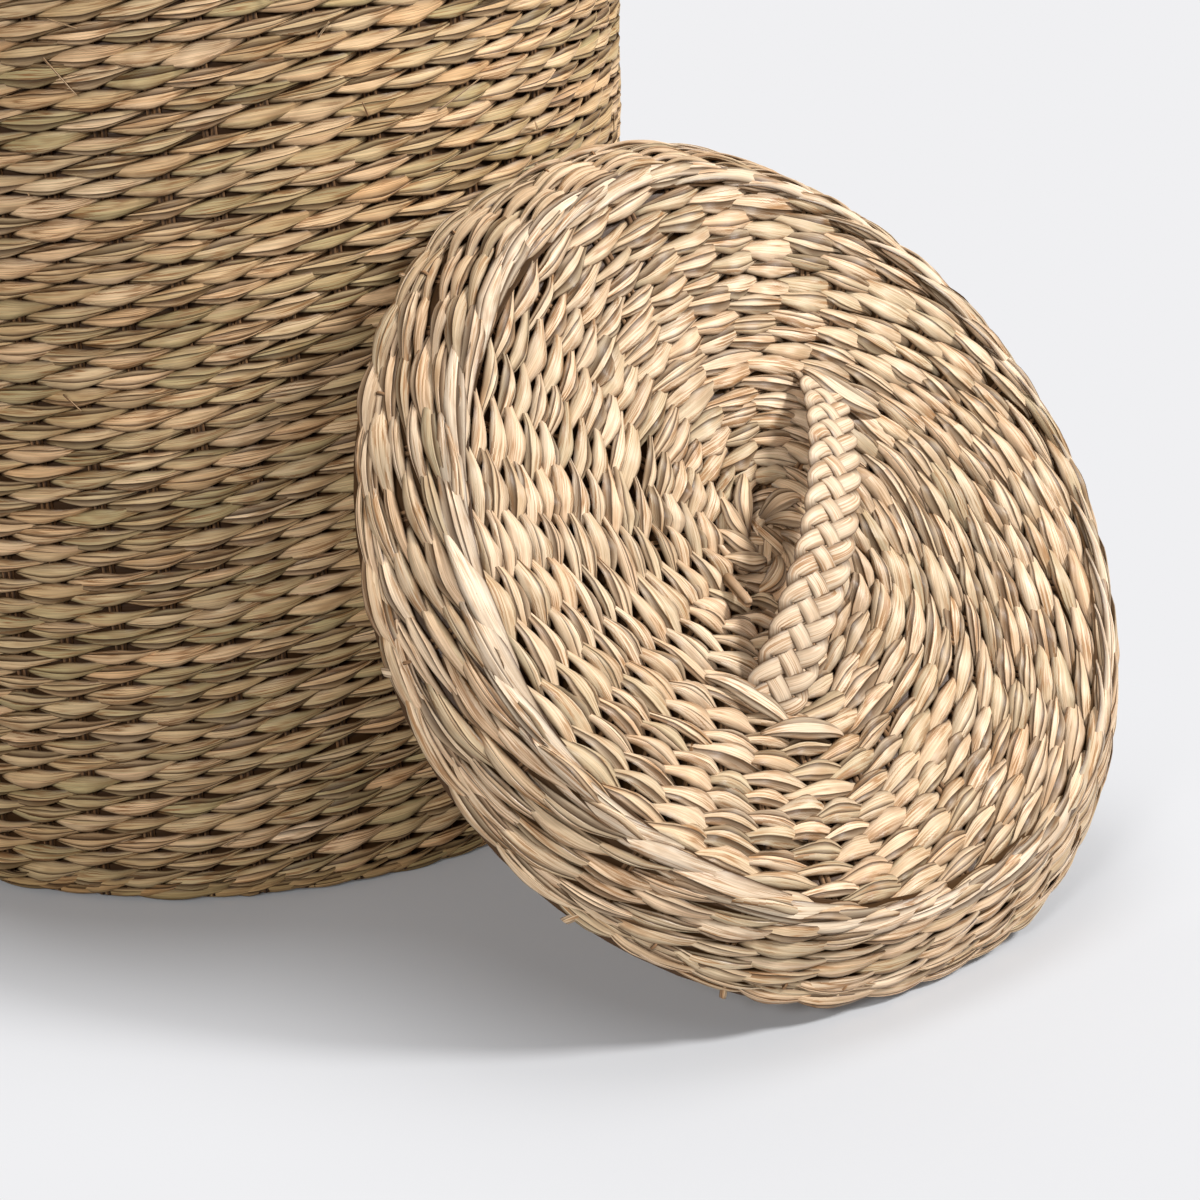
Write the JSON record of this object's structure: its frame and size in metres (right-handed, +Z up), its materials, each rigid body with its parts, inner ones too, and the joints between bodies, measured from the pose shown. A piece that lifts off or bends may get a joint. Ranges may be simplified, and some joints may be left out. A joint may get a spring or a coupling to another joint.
{
  "type": "lidded basket",
  "caption": "Tall round lidded basket of twined seagrass, its shallow dished lid with a plaited strap handle leaning on the wall beside it.",
  "frame": {"origin": "centre of the flat underside of the basket's base, on the floor", "axes": "+Z up along the basket's axis, +Y away from the viewer, +X to the viewer's right; the lid stands in front and to the right"},
  "size_m": [0.5503, 0.515, 0.48],
  "materials": {
    "wall_straw": "dry woven seagrass, straw with olive and tan strands, faint sheen",
    "base_straw": "dry woven seagrass, darker straw",
    "lid_straw": "dry woven seagrass, pale golden straw, faint sheen",
    "pale_straw": "folded seagrass leaves, palest straw, slightly glossy",
    "stake": "cut brown reed"
  },
  "bodies": {
    "basket": {"base_centre_weave": "base_straw", "base_outer_weave": "base_straw", "foot_courses": "base_straw", "wall_courses_1": "wall_straw", "wall_courses_2": "wall_straw", "wall_courses_3": "wall_straw", "wall_courses_4": "wall_straw", "wall_courses_5": "wall_straw", "wall_courses_6": "wall_straw", "wall_courses_7": "wall_straw", "wall_courses_8": "wall_straw", "wall_courses_9": "wall_straw", "neck_courses": "wall_straw", "rim_border": "wall_straw"},
    "lid": {"lid_centre_weave": "lid_straw", "lid_inner_weave": "lid_straw", "lid_middle_weave": "lid_straw", "lid_outer_weave": "lid_straw", "lid_edge_weave": "lid_straw", "lid_crest_wale": "pale_straw", "lid_side_courses": "lid_straw", "lid_border": "lid_straw", "handle_strap": "pale_straw", "lid_stake_end": "stake"}
  },
  "joints": [
    {"name": "lid_tip", "type": "hinge", "parent": "basket", "child": "lid", "pos_m": [0.26152, -0.29089, 0], "axis": [0.8531, 0.5217, 0], "range_deg": [0, 75]}
  ]
}
